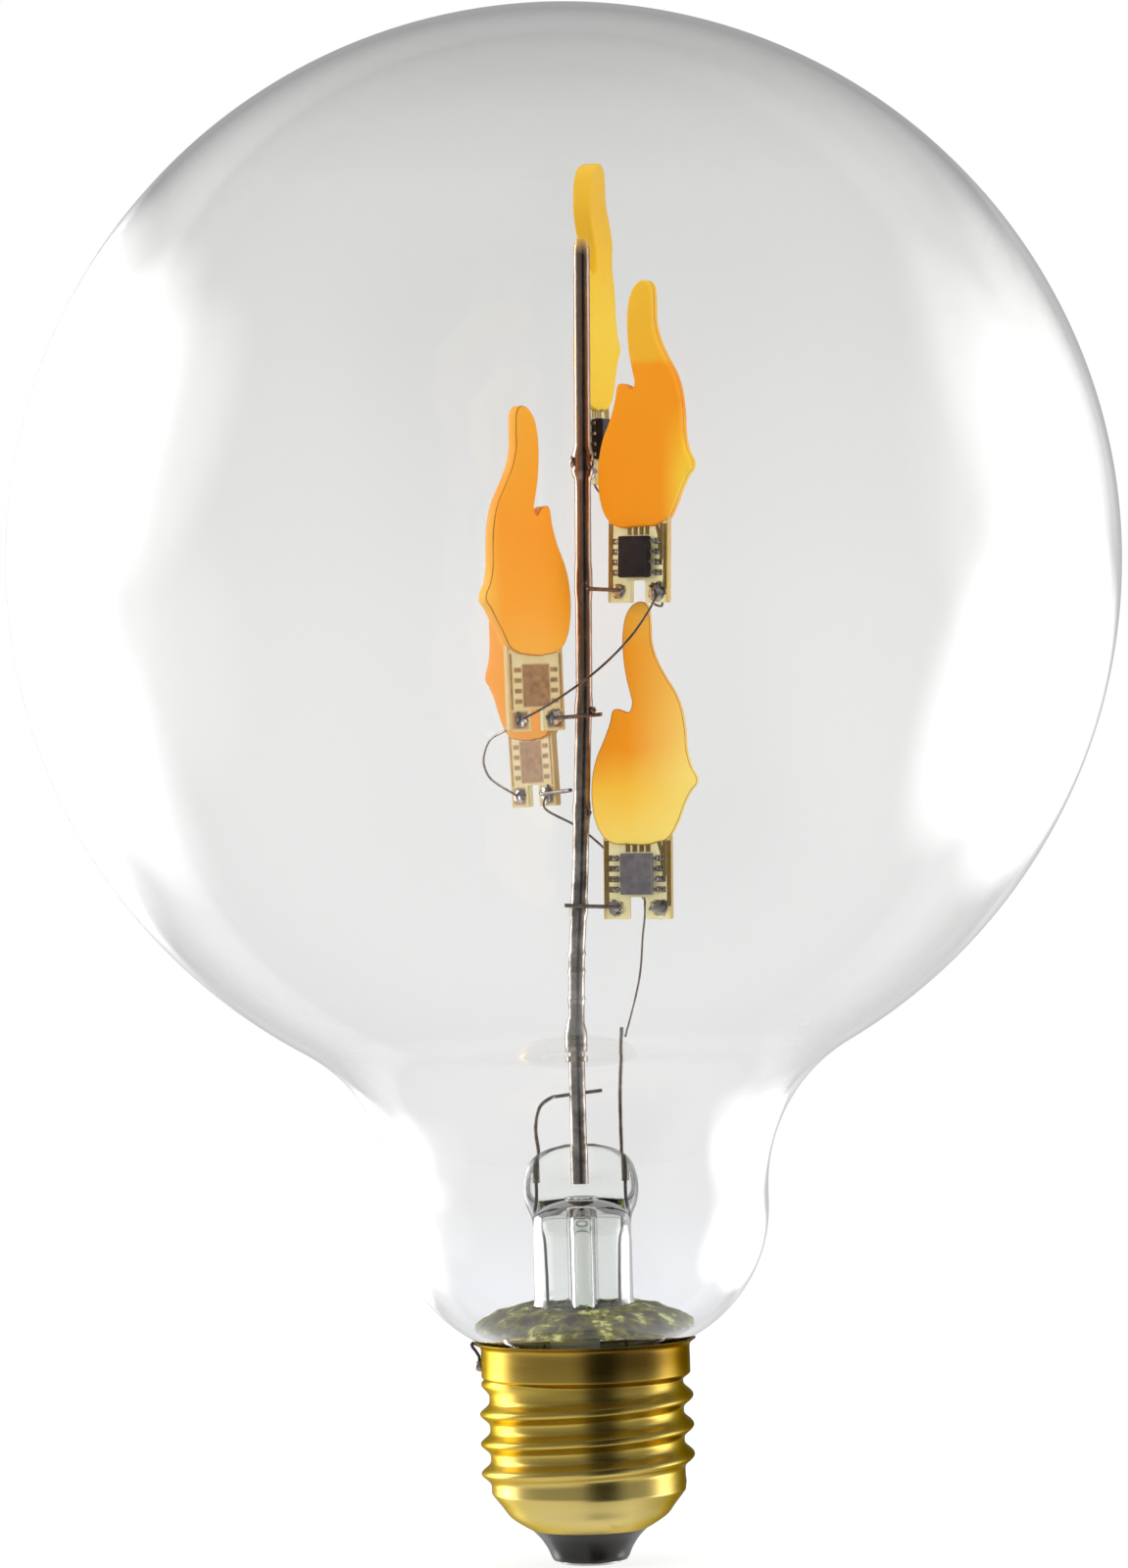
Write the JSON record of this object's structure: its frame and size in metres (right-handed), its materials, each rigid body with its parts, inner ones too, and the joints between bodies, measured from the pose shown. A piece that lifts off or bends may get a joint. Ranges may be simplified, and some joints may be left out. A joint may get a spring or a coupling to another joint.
{
  "type": "flame effect led bulb",
  "caption": "Clear globe lamp on a brass screw cap, with flame-shaped glowing LED boards stood in a spiral round a thin metal rod, joined by fine wires",
  "frame": {"origin": "On the lamp axis, on the flat face of the centre contact at the foot of the cap", "axes": "+Z runs along the lamp axis from the cap to the globe, +X is to the right as the picture looks at the lamp, +Y is away from the camera"},
  "size_m": [0.1362, 0.1362, 0.1908],
  "materials": {
    "clear_glass": "clear blown soda-lime glass",
    "stem_glass": "clear pressed glass",
    "rod_metal": "worn nickel plating with brown oxide",
    "wire_metal": "dull nickel wire",
    "sleeve_copper": "copper-clad sealing wire",
    "dark_lead": "thin dark sleeved lead",
    "board_resin": "pale yellow translucent circuit board",
    "phosphor": "orange-yellow phosphor silicone",
    "chip_black": "moulded chip package",
    "solder": "tinned solder",
    "cap_brass": "polished rolled brass",
    "vitrite": "black cap glass",
    "contact_tin": "tinned contact",
    "cement": "cap cement",
    "driver_resin": "pale green circuit board",
    "capacitor_sleeve": "dark capacitor sleeve",
    "resistor_body": "lacquered resistor"
  },
  "bodies": {
    "root": {"glass_envelope": "clear_glass", "stem_glass": "stem_glass", "exhaust_tube": "stem_glass", "rod_lower": "rod_metal", "rod_sleeve": "rod_metal", "rod_upper": "rod_metal", "lead_in_left": "wire_metal", "lead_in_right": "wire_metal", "seal_left": "sleeve_copper", "seal_right": "sleeve_copper", "outer_lead_left": "dark_lead", "outer_lead_right": "dark_lead", "feed_wire": "wire_metal", "jumper_a_b": "wire_metal", "jumper_b_c": "wire_metal", "jumper_c_d": "wire_metal", "jumper_d_e": "wire_metal", "screw_shell": "cap_brass", "cap_insulator": "vitrite", "centre_contact": "contact_tin", "cap_cement": "cement", "side_lead": "dark_lead", "side_solder": "solder", "driver_board": "driver_resin", "rectifier": "chip_black", "smoothing_capacitor": "capacitor_sleeve", "fuse_resistor": "resistor_body", "centre_lead": "wire_metal", "arm_a": "rod_metal", "board_a": "board_resin", "flame_a": "phosphor", "chip_a": "chip_black", "contacts_a": "solder", "arm_b": "rod_metal", "board_b": "board_resin", "flame_b": "phosphor", "chip_b": "chip_black", "contacts_b": "solder", "arm_c": "rod_metal", "board_c": "board_resin", "flame_c": "phosphor", "chip_c": "chip_black", "contacts_c": "solder", "arm_d": "rod_metal", "board_d": "board_resin", "flame_d": "phosphor", "chip_d": "chip_black", "contacts_d": "solder", "arm_e": "rod_metal", "board_e": "board_resin", "flame_e": "phosphor", "chip_e": "chip_black", "contacts_e": "solder"}
  },
  "joints": []
}
